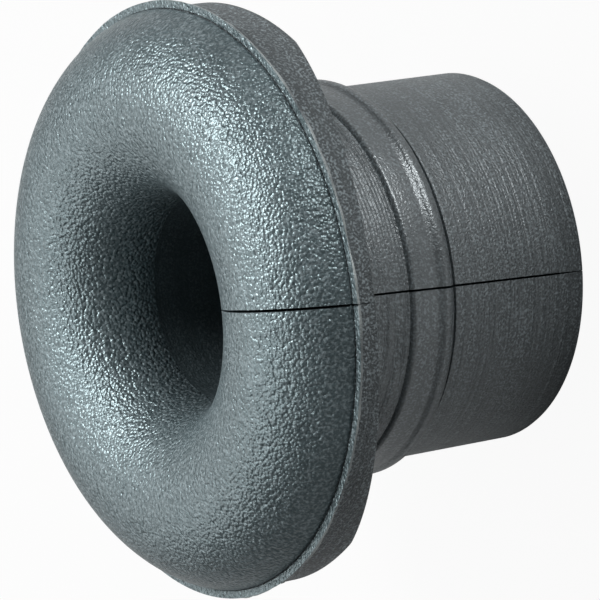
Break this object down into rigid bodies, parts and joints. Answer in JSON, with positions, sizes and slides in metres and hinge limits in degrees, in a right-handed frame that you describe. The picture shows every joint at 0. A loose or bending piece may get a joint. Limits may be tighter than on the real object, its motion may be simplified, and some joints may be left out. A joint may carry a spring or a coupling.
{
  "type": "nylon grommet",
  "caption": "Split nylon panel grommet: a bell-mouthed flange, a panel groove, a snap bead and a plain sleeve that guide and protect a cable through a hole.",
  "frame": {"origin": "centre of the sleeve end, on the surface it stands on", "axes": "+Z along the bore from the sleeve end to the bell mouth, +X towards the slit where it crosses the crown"},
  "size_m": [0.0204, 0.0204, 0.0142],
  "materials": {
    "nylon": "dark grey nylon, coarse spark grain on the bell mouth, fine matte grain and turning marks behind it"
  },
  "bodies": {
    "root": {"grommet": "nylon"}
  },
  "joints": []
}
